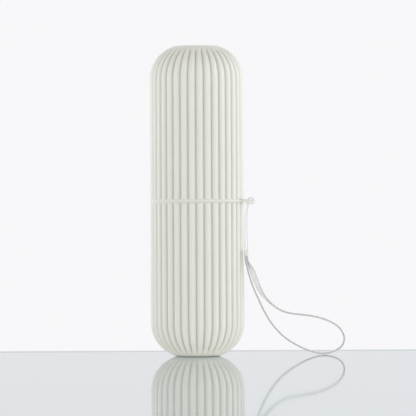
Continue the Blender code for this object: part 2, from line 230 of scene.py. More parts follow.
# The stage: the lamp's place is to the right, ahead and up, as the camera sees it
TABLE_REACH = 3.0
STRIP_SHADE = 0.7
GLASS_IOR = 1.45
MIRROR_ROUGHNESS = 0.035
MIRROR_GAIN = 1.04
STRIP_MIRROR_LOSS = 0.20
BACKDROP_DIM = 0.5
BACKDROP_DIM_START = 0.15
KEY_PLACE = (1.5, -0.9, 1.1)
KEY_SIZE = 1.2
SENSOR_WIDTH = 36
FAR_CLIP = 50


def measure(name, description, value, low=0.0, high=10.0):
    """A size in metres, shown to a hundredth of a millimetre."""
    return FloatProperty(
        name=name, description=description, default=value, min=low, max=high, unit="LENGTH", precision=5
    )


def strength(name, description, value):
    return FloatProperty(name=name, description=description, default=value, min=0.0)


def colour(name, description, value):
    return FloatVectorProperty(
        name=name, description=description, default=value, min=0.0, max=1.0, size=3, subtype="COLOR"
    )


class CupSizes(PropertyGroup):
    rib_count: IntProperty(name="Ribs", description="Ribs round each cup", default=36, min=12, max=72)
    rib_steps: IntProperty(name="Steps per rib", description="Faces across one rib", default=14, min=4, max=32)
    groove_depth: measure("Groove depth", "Depth of the grooves between the ribs", 0.0012, 0.0, 0.0015)
    groove_line: measure("Groove line", "Extra depth of the narrow line at a groove's bottom", 0.00006, 0.0, 0.0005)
    groove_end: measure("Groove end", "Length over which a groove rounds out at the cup's mouth", 0.0006, 0.0001, 0.003)
    groove_tail: measure("Groove tail", "How far from the flat end's edge a groove has died out", 0.002, 0.0, 0.006)
    mouth_ease: measure("Mouth ease", "Radius on both edges of a cup's mouth", 0.00012, 0.0, 0.0006)
    lid_gap: measure("Lid gap", "Gap between the upper cup and the ring", 0.00004, 0.00002, 0.0003)
    ring_gap: measure("Ring gap", "Gap between the ring and the lower cup", 0.0001, 0.00002, 0.0003)
    gate_radius: measure("Gate mark radius", "Radius of the moulding mark on each flat end", 0.0012, 0.0, 0.003)


class StrapSizes(PropertyGroup):
    string_diameter: measure("String diameter", "Diameter of the loop of string", 0.0008, 0.0005, 0.0012)
    string_lay: measure("String lay", "Length of one full twist of the string", 0.003, 0.001, 0.01)
    band_width: measure("Band width", "Width of the flat band", 0.0036, 0.002, 0.005)
    band_thickness: measure("Band thickness", "Thickness of the flat band", 0.00135, 0.0005, 0.0015)
    weave_pitch: measure("Weave pitch", "From one cross thread of the band to the next", 0.0005, 0.0003, 0.002)


class Finishes(PropertyGroup):
    ivory: colour("Cup ivory", "Plastic of both cups", (0.880, 0.880, 0.795))
    ring_ivory: colour("Ring ivory", "Plastic of the joining ring", (0.835, 0.835, 0.755))
    silicone: colour("Seal white", "Silicone of the two seals", (0.80, 0.80, 0.78))
    rack_white: colour("Rack white", "Plastic of the brush rack", (0.82, 0.82, 0.80))
    nylon: colour("Strap white", "Nylon of the string and the band", (0.96, 0.96, 0.96))
    crimp_white: colour("Crimp white", "Plastic of the crimp", (0.88, 0.88, 0.87))


class Studio(PropertyGroup):
    bearing: FloatProperty(
        name="Bearing", description="Turn of the camera round the case, from the -Y side towards +X",
        default=math.radians(16.5), subtype="ANGLE",
    )
    roll: FloatProperty(
        name="Roll", description="Turn of the camera about its own line of sight",
        default=math.radians(-0.27), subtype="ANGLE",
    )
    distance: measure("Distance", "Camera's distance from the case's axis", 2.7, 0.5)
    eye_height: measure("Eye height", "Camera's height above the table", 0.108)
    aim_right: measure("Aim right", "How far right of the case's axis the camera aims", 0.0071, -1.0)
    aim_height: measure("Aim height", "Height above the table that the camera aims at", 0.0978)
    lens: FloatProperty(name="Lens", description="Focal length", default=353.0, min=20.0, unit="CAMERA")
    table_depth: measure("Table depth", "How far the table reaches behind the case", 0.098)
    edge_strip: measure("Edge strip", "Width of the greyer strip along the table's far edge", 0.026)
    glass: measure("Glass", "How far the table's mirrored back lies below its top", 0.0002)
    fill: strength("Fill", "Strength of the light at eye level", 1.29)
    overhead: strength("Overhead", "Strength of the light from above", 0.05)
    sides: strength("Sides", "How much more light comes from both sides", 0.73)
    lean: strength("Lean", "How much more light comes from the right", 0.11)
    glow: strength("Glow", "Light that the table adds from below", 0.05)
    key: FloatProperty(name="Key", description="Power of the large lamp on the right", default=2.6, unit="POWER")
    front_light: colour("Front light", "Colour of the light from the front and the back", (1.0, 1.0, 0.98))
    side_light: colour("Side light", "Colour of the light from both sides", (0.95, 0.945, 1.0))
    backdrop: colour("Backdrop", "Colour behind the table", (0.935, 0.935, 0.950))
    table: colour("Table", "Colour of the table's paint", (0.70, 0.80, 0.79))
    pale_table: colour("Pale table", "Colour of the light that the table throws on the case", (0.97, 0.99, 1.0))
    reflection: colour("Reflection", "Tint of what the table's glass mirrors", (0.882, 0.90, 0.915))


class ToothbrushCup(PropertyGroup):
    cup: PointerProperty(type=CupSizes)
    strap: PointerProperty(type=StrapSizes)
    finish: PointerProperty(type=Finishes)
    studio: PointerProperty(type=Studio)


def settings():
    return bpy.context.scene.toothbrush_cup


def linked(name, data):
    """A new object of that data, in the scene."""
    made = bpy.data.objects.new(name, data)
    bpy.context.scene.collection.objects.link(made)
    return made


def placed(name, mesh, material, body, nodes, smooth_below=35):
    """A finished piece: its mesh and finish, the nodes it stands for and the body it rides on."""
    mesh.name = name
    mesh.materials.append(material)
    mesh.shade_smooth()
    mesh.set_sharp_from_angle(angle=math.radians(smooth_below))
    made = linked(name, mesh)
    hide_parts(*nodes)
    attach(made, body)
    return made


def mesh_from(shape):
    """The bmesh as a mesh, its doubles merged and its faces pointing out."""
    bmesh.ops.remove_doubles(shape, verts=shape.verts, dist=MERGE)
    bmesh.ops.recalc_face_normals(shape, faces=shape.faces)
    mesh = bpy.data.meshes.new("piece")
    shape.to_mesh(mesh)
    shape.free()
    return mesh


def clamped(value):
    return min(1.0, max(0.0, value))


def arc(centre, radius, start, sweep, steps):
    """Points of (x, y) round a part of a circle, from a start angle through a sweep, both in degrees."""
    turns = (math.radians(start + sweep * i / steps) for i in range(steps + 1))
    return [(centre[0] + radius * math.cos(a), centre[1] + radius * math.sin(a)) for a in turns]


def circle(centre, radius, sides):
    return arc(centre, radius, 0, 360, sides)[:-1]


def level(outline, height):
    """The outline of (x, y) at that height."""
    return [(x, y, height) for x, y in outline]


def rounding(ease, steps):
    """Pairs of distances from a sharp edge that round it: the first starts at nothing, the second ends there."""
    turns = (math.radians(90 * i / steps) for i in range(steps + 1))
    return [(ease * (1 - math.cos(a)), ease * (1 - math.sin(a))) for a in turns]


def key_of(point):
    """The point's coordinates, rounded so that they find it again."""
    return tuple(round(c, DECIMALS) for c in point)


def spun(shape, profile, steps, start=0.0, closed=True):
    """Turns the outline of (radius, height) points about Z."""
    corners = [shape.verts.new((radius * math.cos(start), radius * math.sin(start), z)) for radius, z in profile]
    edges = [shape.edges.new(pair) for pair in zip(corners, corners[1:], strict=False)]
    if closed:
        edges.append(shape.edges.new((corners[-1], corners[0])))
    bmesh.ops.spin(
        shape, geom=corners + edges, cent=(0, 0, 0), axis=(0, 0, 1), angle=math.tau, steps=steps, use_merge=True
    )


def first_loop(shape, points):
    """A closed loop of edges through the points."""
    corners = [shape.verts.new(point) for point in points]
    return [shape.edges.new((corners[i - 1], corners[i])) for i in range(len(corners))]


def drawn_on(shape, edges, points, onward):
    """Extrudes the loop on the points, moves each new corner to its place onward, and returns the new loop."""
    goal = dict(zip(points, onward, strict=True))
    wanted = set(onward)
    made = bmesh.ops.extrude_edge_only(shape, edges=edges)["geom"]
    for corner in (item for item in made if isinstance(item, bmesh.types.BMVert)):
        corner.co = goal[key_of(corner.co)]
    edges = (item for item in made if isinstance(item, bmesh.types.BMEdge))
    return [edge for edge in edges if all(key_of(corner.co) in wanted for corner in edge.verts)]


def lofted(shape, rows):
    """Draws a loop through each row of points in turn, and returns its first and last edges."""
    rows = [[key_of(point) for point in row] for row in rows]
    start = edges = first_loop(shape, rows[0])
    for row, onward in zip(rows, rows[1:], strict=False):
        edges = drawn_on(shape, edges, row, onward)
    return start, edges


def through(route, steps):
    """Points on one smooth curve through the route's points, with that many to each span."""
    rows = [Vector(row) for row in route]
    rows = [2 * rows[0] - rows[1], *rows, 2 * rows[-1] - rows[-2]]
    points = []
    for before, start, end, after in zip(rows, rows[1:], rows[2:], rows[3:], strict=False):
        for i in range(steps):
            t = i / steps
            square = t * t
            cube = square * t
            point = start * (2 - 5 * square + 3 * cube) + end * (t + 4 * square - 3 * cube)
            points.append((point + before * (2 * square - t - cube) + after * (cube - square)) / 2)
    return [*points, rows[-2]]


def lengths_along(points):
    """The distance along the points to each of them."""
    run = [0.0]
    for start, end in zip(points, points[1:], strict=False):
        run.append(run[-1] + (end - start).length)
    return run


def evenly(line, steps):
    """The line's two ends, and the points between them that cut it into that many equal steps."""
    points = [Vector(point) for point in line]
    run = lengths_along(points)
    found = []
    leg = 0
    for i in range(steps):
        goal = run[-1] * i / steps
        while run[leg + 1] < goal:
            leg += 1
        share = (goal - run[leg]) / (run[leg + 1] - run[leg])
        found.append(points[leg].lerp(points[leg + 1], share))
    return [*found, points[-1]]


class Nodes:
    """A node tree, with short words for the nodes that are used here."""

    def __init__(self, tree):
        self.tree = tree

    def put(self, value, target):
        """Joins a socket or a node's first output to the target, or sets the target to a plain value."""
        if isinstance(value, bpy.types.Node):
            value = value.outputs[0]
        if isinstance(value, bpy.types.NodeSocket):
            self.tree.links.new(value, target)
        elif target.type == "RGBA":
            target.default_value = (*value, 1.0)
        else:
            target.default_value = value

    def node(self, kind, inputs=(), **options):
        """A new node with those options, and with each input put to what the inputs say."""
        made = self.tree.nodes.new(kind)
        for key, value in options.items():
            setattr(made, key, value)
        for key, value in dict(inputs).items():
            self.put(value, made.inputs[key])
        return made

    def maths(self, operation, *values):
        return self.node("ShaderNodeMath", enumerate(values), operation=operation).outputs["Value"]

    def sine(self, source, factor):
        return self.maths("SINE", self.maths("MULTIPLY", source, factor))

    def ranged(self, source, low, high, start=0.3, end=0.7):
        """What runs from start to end in the source, spread from low to high."""
        inputs = {"Value": source, "From Min": start, "From Max": end, "To Min": low, "To Max": high}
        return self.node("ShaderNodeMapRange", inputs).outputs["Result"]

    def mixed(self, share, first, second):
        """One colour, with that share of a second."""
        inputs = {"Factor": share, "A": first, "B": second}
        return self.node("ShaderNodeMix", inputs, data_type="RGBA").outputs["Result"]

    def blended(self, share, first, second):
        """One shader, with that share of a second."""
        return self.node("ShaderNodeMixShader", {0: share, 1: first, 2: second})


class Shader(Nodes):
    """A material's nodes round one Principled shader."""

    def __init__(self, name):
        self.material = bpy.data.materials.new(name)
        self.material.use_nodes = True
        super().__init__(self.material.node_tree)
        self.surface = self.tree.nodes["Principled BSDF"]
        self.coordinates = self.node("ShaderNodeTexCoord").outputs

    def noise(self, scale, detail=2.0, stretch=(1, 1, 1)):
        """Soft noise through the piece, with about that many spots to a metre."""
        place = self.node("ShaderNodeMapping", {"Vector": self.coordinates["Object"], "Scale": stretch})
        return self.node("ShaderNodeTexNoise", {"Vector": place, "Scale": scale, "Detail": detail}).outputs["Fac"]

    def bumped(self, height, distance, strength, before=None):
        """A normal that follows the height, to that distance in metres, on top of another bump."""
        inputs = {"Height": height, "Distance": distance, "Strength": strength}
        if before:
            inputs["Normal"] = before
        return self.node("ShaderNodeBump", inputs).outputs["Normal"]

    def finished(self, **looks):
        """The material, once the Principled shader has its colour, roughness, normal and the rest."""
        for key, value in looks.items():
            self.put(value, self.surface.inputs[key.replace("_", " ")])
        return self.material


def shade_of(tint, factor):
    return tuple(c * factor for c in tint)


def moulded(name, tint, grooved=False):
    """Satin moulded plastic: a faint flow in its colour, a fine spark-eroded grain, and painted shade that darkens its
    grooves.
    """
    made = Shader(name)
    flow = made.ranged(made.noise(scale=34, detail=3, stretch=(1, 1, 0.35)), 0.0, 1.0)
    base = made.mixed(flow, shade_of(tint, 0.982), shade_of(tint, 1.012))
    if grooved:
        # Painted shade: the grooves' colour darkens towards their bottoms, by the mask that the cup's mesh keeps.
        depth = made.node("ShaderNodeAttribute", attribute_name="groove").outputs["Fac"]
        groove_shade_mask = made.maths("MULTIPLY", depth, made.ranged(made.noise(scale=300), 0.88, 1.0))
        base = made.mixed(groove_shade_mask, base, [c * shade_factor for c, shade_factor in zip(tint, GROOVE_PAINTED_SHADE, strict=True)])
    waves = made.bumped(made.noise(scale=160), distance=0.00004, strength=0.5)
    return made.finished(
        Base_Color=base,
        Roughness=made.ranged(made.noise(scale=120, detail=3), 0.36, 0.46),
        Normal=made.bumped(made.noise(scale=2600), distance=0.000012, strength=0.8, before=waves),
        IOR=1.49,
        Coat_Weight=1.0,
        Coat_Roughness=0.28,
        Coat_IOR=1.5,
    )


def rubbery(name, tint):
    """Milky silicone."""
    made = Shader(name)
    cloud = made.ranged(made.noise(scale=220, detail=3), 0.0, 1.0)
    return made.finished(
        Base_Color=made.mixed(cloud, shade_of(tint, 0.95), tint),
        Roughness=made.ranged(made.noise(scale=500), 0.48, 0.62),
        Normal=made.bumped(made.noise(scale=3000), distance=0.00001, strength=0.7),
        IOR=1.41,
    )


def polished(name, tint):
    """Smooth white plastic with a little gloss."""
    made = Shader(name)
    cloud = made.ranged(made.noise(scale=400), 0.0, 1.0)
    return made.finished(
        Base_Color=made.mixed(cloud, shade_of(tint, 0.97), tint),
        Roughness=made.ranged(made.noise(scale=700, detail=3), 0.2, 0.32),
        Normal=made.bumped(made.noise(scale=900), distance=0.00002, strength=0.5),
        IOR=1.49,
    )


def woven(name, tint, length, girth, pitch):
    """A flat plain weave that follows the band: cross threads at that pitch, lengthwise yarns and painted shade along
    the selvedges.
    """
    made = Shader(name)
    spot = made.node("ShaderNodeSeparateXYZ", {"Vector": made.coordinates["UV"]}).outputs
    threads = round(length / pitch)
    yarns = 2 * round(girth / (2 * YARN_SPACING * pitch))
    over = made.maths("MULTIPLY", made.sine(spot["X"], math.pi * threads), made.sine(spot["Y"], math.pi * yarns))
    weave = made.maths("POWER", made.maths("ABSOLUTE", over), THREAD_CROWN)
    fuzz = made.ranged(made.noise(scale=1800, detail=3), 0.0, 1.0)
    face = made.mixed(weave, shade_of(tint, 0.93), made.mixed(fuzz, shade_of(tint, 0.96), tint))
    # Painted shade: the band's colour darkens to 0.62 of its nylon towards both selvedges.
    selvedge_shade = made.ranged(made.maths("ABSOLUTE", made.sine(spot["Y"], math.tau)), 0.0, 1.0, *SELVEDGE_SHADE_REACH)
    hairs = made.bumped(made.noise(scale=5200), distance=0.000008, strength=0.6)
    return made.finished(
        Base_Color=made.mixed(selvedge_shade, face, shade_of(tint, 0.62)),
        Roughness=made.ranged(made.noise(scale=900), 0.72, 0.9),
        Normal=made.bumped(weave, distance=0.00004, strength=0.9, before=hairs),
        Sheen_Weight=0.5,
        Sheen_Roughness=0.5,
    )


def twisted(name, tint):
    """Plied string: fine fibres along its strands."""
    made = Shader(name)
    fibres = made.noise(scale=2400, detail=3, stretch=(1, 1, 0.3))
    return made.finished(
        Base_Color=made.mixed(made.ranged(fibres, 0.0, 1.0), shade_of(tint, 0.93), tint),
        Roughness=made.ranged(made.noise(scale=1500), 0.68, 0.88),
        Normal=made.bumped(fibres, distance=0.000015, strength=0.7),
        Sheen_Weight=0.5,
        Sheen_Roughness=0.5,
    )


def cup_profile(sizes, mouth):
    """A cup's section, from its floor's middle up the bore, and down the outside to its flat end's middle."""
    ease = sizes.mouth_ease
    gate = sizes.gate_radius
    corner = (CORNER_CENTRE, CORNER_RISE)
    floor_turn = math.degrees(math.asin((CORNER_RISE - FLOOR_THICKNESS) / BORE_CORNER))
    outer_turn = math.degrees(math.acos(END_FLAT_OVERHANG / CORNER_RADIUS))
    return [
        (0.0, FLOOR_THICKNESS),
        (gate, FLOOR_THICKNESS),
        *arc(corner, BORE_CORNER, -floor_turn, floor_turn, BORE_CORNER_STEPS),
        (BORE_RADIUS, mouth / 2),
        *arc((BORE_RADIUS + ease, mouth - ease), ease, 180, -90, EASE_STEPS),
        *arc((CREST_RADIUS - ease, mouth - ease), ease, 90, -90, EASE_STEPS),
        *((CREST_RADIUS, mouth - sizes.groove_end * share) for share in GROOVE_END_ROWS),
        *((CREST_RADIUS, mouth * share + CORNER_RISE * (1 - share)) for share in WALL_ROWS),
        *arc(corner, CORNER_RADIUS, 0, -outer_turn, CORNER_STEPS),
        (gate * GATE_FLARE, 0.0),
        (gate, GATE_DEPTH),
        (0.0, GATE_DEPTH),
    ]


def carve_grooves(shape, sizes, mouth):
    """Presses the grooves into the outside, and keeps for each point a mask of painted shade that grows towards its
    groove's bottom.
    """
    groove_shade_layer = shape.verts.layers.float.new("groove")
    for corner in shape.verts:
        radius = corner.co.xy.length
        out = radius - CORNER_CENTRE
        below = max(0.0, CORNER_RISE - corner.co.z)
        if out < END_FLAT_OVERHANG or math.hypot(out, below) < WALL_MIDDLE - CORNER_CENTRE:
            continue
        lean = math.atan2(below, out)
        run_out = (CORNER_RADIUS * math.cos(lean) - END_FLAT_OVERHANG - sizes.groove_tail) / RIB_RUN_OUT
        run_out = clamped(run_out)
        to_mouth = (mouth - corner.co.z) / sizes.groove_end - 0.5
        share = run_out**2 * (3 - 2 * run_out) * math.sqrt(clamped(to_mouth))
        turn = math.atan2(corner.co.y, corner.co.x) / math.tau * sizes.rib_count + 0.5
        across = abs(2 * (turn % 1.0) - 1)
        line = clamped((across - GROOVE_LINE_START) / (1 - GROOVE_LINE_START))
        depth = share * (sizes.groove_depth * across**2 + sizes.groove_line * line)
        outward = Vector((corner.co.x / radius, corner.co.y / radius, 0.0)) * math.cos(lean)
        outward.z = -math.sin(lean)
        corner.co -= outward * depth
        # The mask of painted shade for this point, strongest at the groove's bottom.
        corner[groove_shade_layer] = share * across**3


def cup_mesh(sizes, mouth):
    """One cup, standing on its flat end."""
    shape = bmesh.new()
    steps = sizes.rib_count * sizes.rib_steps
    spun(shape, cup_profile(sizes, mouth), steps, start=-math.pi / sizes.rib_count, closed=False)
    bmesh.ops.remove_doubles(shape, verts=shape.verts, dist=MERGE)
    carve_grooves(shape, sizes, mouth)
    return mesh_from(shape)


def ring_profile():
    """The joining ring's section about the seam: its outer side from the top down, then its bore."""
    ease = RING_EASE
    top_ease = arc((RING_BORE_RADIUS + ease, COLLAR_TOP - ease), ease, 180, -90, EASE_STEPS)
    outer = [
        (COLLAR_RADIUS - COLLAR_LEAD_IN, COLLAR_TOP),
        (COLLAR_RADIUS - COLLAR_LEAD_IN * 0.25, COLLAR_TOP - COLLAR_LEAD_IN),
        (COLLAR_RADIUS, COLLAR_TOP - 2 * COLLAR_LEAD_IN),
        (COLLAR_RADIUS, SEAL_OFFSET + SEAL_GROOVE_HALF),
        (SEAL_GROOVE_RADIUS, SEAL_OFFSET + SEAL_GROOVE_HALF),
        (SEAL_GROOVE_RADIUS, SEAL_OFFSET - SEAL_GROOVE_HALF),
        (COLLAR_RADIUS, SEAL_OFFSET - SEAL_GROOVE_HALF),
        (COLLAR_RADIUS, HALF_FLANGE),
        *arc((CREST_RADIUS - ease, HALF_FLANGE - ease), ease, 90, -90, EASE_STEPS),
    ]
    bore = [
        (RING_BORE_RADIUS - LEDGE, -COLLAR_TOP),
        (RING_BORE_RADIUS - LEDGE, LEDGE - COLLAR_TOP),
        (RING_BORE_RADIUS, LEDGE - COLLAR_TOP),
    ]
    return top_ease + outer + [(radius, -height) for radius, height in reversed(outer)] + bore


def ear_mesh():
    """The ear with its eyelet: rows of one loop, out along the underside, up the edge, and in over the top."""
    flare_x, flare_y = EAR_FLARE_START + EAR_FLARE, EAR_HALF_WIDTH + EAR_FLARE
    outline = [
        (EAR_ROOT, -flare_y),
        *arc((flare_x, -flare_y), EAR_FLARE, 180, -90, 10),
        *arc((EYELET_CENTRE, 0), EAR_HALF_WIDTH, -90, 180, 40),
        *arc((flare_x, flare_y), EAR_FLARE, 270, -90, 10),
        (EAR_ROOT, flare_y),
    ]
    edge = evenly([*outline, outline[0]], EAR_STEPS)[:-1]
    centre = Vector((EYELET_CENTRE, 0))
    middle = Vector((EAR_MIDDLE, 0))
    bottom = SEAM_HEIGHT - EAR_HALF_THICKNESS
    top = SEAM_HEIGHT + EAR_HALF_THICKNESS

    def on_eyelet(grow, height):
        return [(*(centre + (point - centre).normalized() * (EYELET_RADIUS + grow)), height) for point in edge]

    def on_edge(shrink, height):
        return [(*(point - (point - middle).normalized() * shrink), height) for point in edge]

    turn = rounding(EAR_EASE, 3)
    rows = [on_eyelet(rise, bottom + fall) for rise, fall in turn]
    rows += [on_edge(fall, bottom + rise) for rise, fall in turn]
    rows += [on_edge(rise, top - fall) for rise, fall in turn]
    rows += [on_eyelet(fall, top - rise) for rise, fall in turn]
    shape = bmesh.new()
    start, end = lofted(shape, rows)
    bmesh.ops.bridge_loops(shape, edges=start + end)
    return mesh_from(shape)


def seal_mesh(height):
    """A round seal."""
    shape = bmesh.new()
    spun(shape, circle((SEAL_RADIUS, height), SEAL_HALF, SEAL_SIDES), SEAL_STEPS)
    return mesh_from(shape)


def rack_outlines(wall):
    """Outlines of the rack's brush holes and paste slot, each larger by that wall."""
    inner = RACK_RADIUS - RACK_SKIRT
    hole = (inner - RACK_EDGE_WEB - RACK_CROSS_WEB / math.sqrt(2)) / (1 + math.sqrt(2))
    centre = hole + RACK_CROSS_WEB / 2
    reach = hole + wall
    left_hole = circle((-centre, -centre), reach, HOLE_STEPS)
    right_hole = circle((centre, -centre), reach, HOLE_STEPS)
    slot_right = arc((centre, centre), reach, -90, 180, HOLE_STEPS // 2)
    slot_left = arc((-centre, centre), reach, 90, 180, HOLE_STEPS // 2)
    return left_hole, right_hole, slot_right + slot_left


def rack_mesh():
    """The rack: a plate with a skirt round it and a sleeve below each opening."""
    under = RACK_TOP - RACK_PLATE
    inner = RACK_RADIUS - RACK_SKIRT
    sleeve_end = under - SLEEVE_DEPTH
    soft = rounding(RACK_EASE, 4)
    fine = rounding(RACK_FINE_EASE, 2)
    rings = [(RACK_RADIUS - fall, RACK_TOP - rise) for rise, fall in soft]
    rings += [(RACK_RADIUS - rise, RACK_BOTTOM + fall) for rise, fall in fine]
    rings += [(inner + fall, RACK_BOTTOM + rise) for rise, fall in fine]
    rings.append((inner, under))
    walls = [(fall, RACK_TOP - rise) for rise, fall in soft]
    walls += [(rise, sleeve_end + fall) for rise, fall in fine]
    walls += [(SLEEVE_WALL - fall, sleeve_end + rise) for rise, fall in fine]
    walls.append((SLEEVE_WALL, under))
    shape = bmesh.new()
    plate = [level(circle((0, 0), radius, RACK_STEPS), height) for radius, height in rings]
    top_loops, under_loops = lofted(shape, plate)
    for opening in range(3):
        start, end = lofted(shape, [level(rack_outlines(wall)[opening], height) for wall, height in walls])
        top_loops += start
        under_loops += end
    for loops in (top_loops, under_loops):
        bmesh.ops.triangle_fill(shape, edges=loops, use_beauty=True, normal=(0, 0, 1))
    return mesh_from(shape)


def crimp_frame():
    """Where the crimp's middle hangs, turned to the strap's bearing."""
    return Matrix.Translation(CRIMP_PLACE) @ Matrix.Rotation(STRAP_BEARING, 4, "Z")


def crimp_mesh():
    """The crimp: a block with round upright corners and soft rims."""
    shape = bmesh.new()
    bmesh.ops.create_cube(shape, size=1, matrix=Matrix.Diagonal((*CRIMP_SIZE, 1)))
    upright = [e for e in shape.edges if e.verts[0].co.xy == e.verts[1].co.xy]
    bmesh.ops.bevel(shape, geom=upright, offset=CRIMP_CORNER, segments=5, profile=0.5, affect="EDGES", material=-1)
    rims = [e for e in shape.edges if e.verts[0].co.z == e.verts[1].co.z]
    bmesh.ops.bevel(shape, geom=rims, offset=CRIMP_EASE, segments=4, profile=0.5, affect="EDGES", material=-1)
    bmesh.ops.transform(shape, matrix=crimp_frame(), verts=shape.verts)
    return mesh_from(shape)


def poly_curve(name, points, dimensions):
    """A curve of straight steps through the points."""
    curve = bpy.data.curves.new(name, "CURVE")
    curve.dimensions = dimensions
    spline = curve.splines.new("POLY")
    spline.points.add(len(points) - 1)
    for corner, point in zip(spline.points, points, strict=True):
        corner.co = (*point, 1)
    return curve


def swept(name, points, tilts, outline, twist_mode, matrix):
    """A closed outline of (x, y) drawn along the points, as one closed mesh in its place."""
    section = linked(name + "_section", poly_curve(name + "_section", level(outline, 0), "2D"))
    section.data.splines[0].use_cyclic_u = True
    curve = poly_curve(name + "_rail", points, "3D")
    curve.twist_mode = twist_mode
    curve.bevel_mode = "OBJECT"
    curve.bevel_object = section
    curve.use_fill_caps = True
    for corner, tilt in zip(curve.splines[0].points, tilts, strict=True):
        corner.tilt = tilt
    rail = linked(name + "_rail", curve)
    mesh = bpy.data.meshes.new_from_object(rail.evaluated_get(bpy.context.evaluated_depsgraph_get()))
    for helper in (rail, section):
        data = helper.data
        bpy.data.objects.remove(helper)
        bpy.data.curves.remove(data)
    mesh.transform(matrix)
    shape = bmesh.new()
    shape.from_mesh(mesh)
    bpy.data.meshes.remove(mesh)
    return mesh_from(shape)


def string_points(steps):
    """The string from the crimp up one strand, through its hitch on the ear, and down the other."""
    other_half = [(x, -y, z) for x, y, z in reversed(STRING_HITCH_HALF)]
    hitch = [*STRING_HITCH_HALF, STRING_HITCH_MIDDLE, *other_half]
    return through([*STRING_NEAR_STRAND, *hitch, *STRING_FAR_STRAND], steps)


def ply_section(diameter):
    """Three strands laid together."""
    points = []
    for i in range(PLY_SIDES):
        a = math.tau * i / PLY_SIDES
        radius = diameter / 2 * (1 - PLY_HOLLOW + PLY_HOLLOW * math.cos(3 * a))
        points.append((radius * math.cos(a), radius * math.sin(a)))
    return points


def band_section(width, thickness):
    """A flat band with soft edges, a little thicker along its two selvedges."""

    def squared_off(value):
        return math.copysign(abs(value) ** BAND_SQUARENESS, value)

    points = []
    for i in range(BAND_SIDES):
        a = math.tau * i / BAND_SIDES
        across = squared_off(math.sin(a)) * width / 2
        hollow = BAND_HOLLOW * max(0.0, 1 - (BAND_HOLLOW_SPAN * across / width) ** 2)
        points.append((squared_off(math.cos(a)) * thickness / 2 * (1 - hollow), across))
    return points


class MESH_OT_cup_shells(Operator):
    """Make the two ribbed cups"""

    bl_idname = "mesh.toothbrush_cup_shells"
    bl_label = "Ribbed cups"

    def execute(self, context):
        chosen = settings()
        plastic = moulded("ivory plastic", chosen.finish.ivory, grooved=True)
        lower = cup_mesh(chosen.cup, SEAM_HEIGHT - HALF_FLANGE - chosen.cup.ring_gap)
        placed("lower_shell", lower, plastic, "lower_cup", ["lower_cup"])
        upper = cup_mesh(chosen.cup, SEAM_HEIGHT - HALF_FLANGE - chosen.cup.lid_gap)
        upper.transform(Matrix.Translation((0, 0, TOTAL_HEIGHT)) @ Matrix.Rotation(math.pi, 4, "X"))
        placed("upper_shell", upper, plastic, "upper_cup", ["upper_cup"])
        return {"FINISHED"}


class MESH_OT_joining_ring(Operator):
    """Make the joining ring with its ear for the strap"""

    bl_idname = "mesh.toothbrush_joining_ring"
    bl_label = "Joining ring"

    def execute(self, context):
        plastic = moulded("ring plastic", settings().finish.ring_ivory)
        shape = bmesh.new()
        spun(shape, [(radius, SEAM_HEIGHT + z) for radius, z in ring_profile()], RING_STEPS)
        ring = mesh_from(shape)
        placed("ring_body", ring, plastic, "joining_ring", ["joining_ring"])
        placed("strap_ear", ear_mesh(), plastic, "joining_ring", ["joining_ring"])
        return {"FINISHED"}


class MESH_OT_seals(Operator):
    """Make the two seals on the ring's collars"""

    bl_idname = "mesh.toothbrush_seals"
    bl_label = "Seals"

    def execute(self, context):
        silicone = rubbery("milky silicone", settings().finish.silicone)
        for name, way in (("upper_seal", 1), ("lower_seal", -1)):
            seal = seal_mesh(SEAM_HEIGHT + way * SEAL_OFFSET)
            placed(name + "_ring", seal, silicone, "joining_ring", [name])
        return {"FINISHED"}


class MESH_OT_brush_rack(Operator):
    """Make the rack that the toothbrushes stand in"""

    bl_idname = "mesh.toothbrush_rack"
    bl_label = "Brush rack"

    def execute(self, context):
        plastic = moulded("rack plastic", settings().finish.rack_white)
        placed(
            "rack_body", rack_mesh(), plastic, "brush_rack", ["brush_rack"], smooth_below=40
        )
        return {"FINISHED"}


class MESH_OT_wrist_strap(Operator):
    """Make the string, the crimp and the band of the wrist strap"""

    bl_idname = "mesh.toothbrush_wrist_strap"
    bl_label = "Wrist strap"

    def execute(self, context):
        chosen = settings()
        crimp = placed(
            "crimp_block", crimp_mesh(), polished("crimp plastic", chosen.finish.crimp_white),
            "joining_ring", ["strap_crimp"],
        )
        self.make_string(chosen, crimp)
        self.make_band(chosen)
        return {"FINISHED"}

    def make_string(self, chosen, crimp):
        """The hitched string, twisted once for each length of its lay."""
        route = string_points(STRING_SPAN_STEPS)
        length = lengths_along(route)[-1]
        twists = length / chosen.strap.string_lay
        steps = round(twists * STEPS_PER_TWIST)
        points = evenly(route, steps)
        tilts = [math.tau * twists * i / steps for i in range(steps + 1)]
        place = Matrix.Translation((EYELET_CENTRE, 0, SEAM_HEIGHT))
        mesh = swept("string", points, tilts, ply_section(chosen.strap.string_diameter), "MINIMUM", place)
        finish = twisted("string nylon", chosen.finish.nylon)
        string = placed(
            "string_loop", mesh, finish, "joining_ring", ["strap_string"], smooth_below=60
        )

    def make_band(self, chosen):
        """The flat band, drawn in a frame whose Z points at the camera, which sees its edge where it has no twist."""
        points = through([(out, up, -back) for out, back, up, _ in BAND_ROUTE], BAND_SPAN_STEPS)
        twists = through([(math.radians(twist), 0, 0) for *_, twist in BAND_ROUTE], BAND_SPAN_STEPS)
        place = crimp_frame() @ Matrix.Rotation(math.pi / 2, 4, "X")
        width = chosen.strap.band_width
        outline = band_section(width, chosen.strap.band_thickness)
        mesh = swept("band", points, [twist.x for twist in twists], outline, "Z_UP", place)
        run = lengths_along(points)
        girth = lengths_along([Vector(point) for point in [*outline, outline[0]]])[-1]
        finish = woven("band nylon", chosen.finish.nylon, run[-1], girth, chosen.strap.weave_pitch)
        band = placed(
            "band_weave", mesh, finish, "joining_ring", ["wrist_band"], smooth_below=60
        )


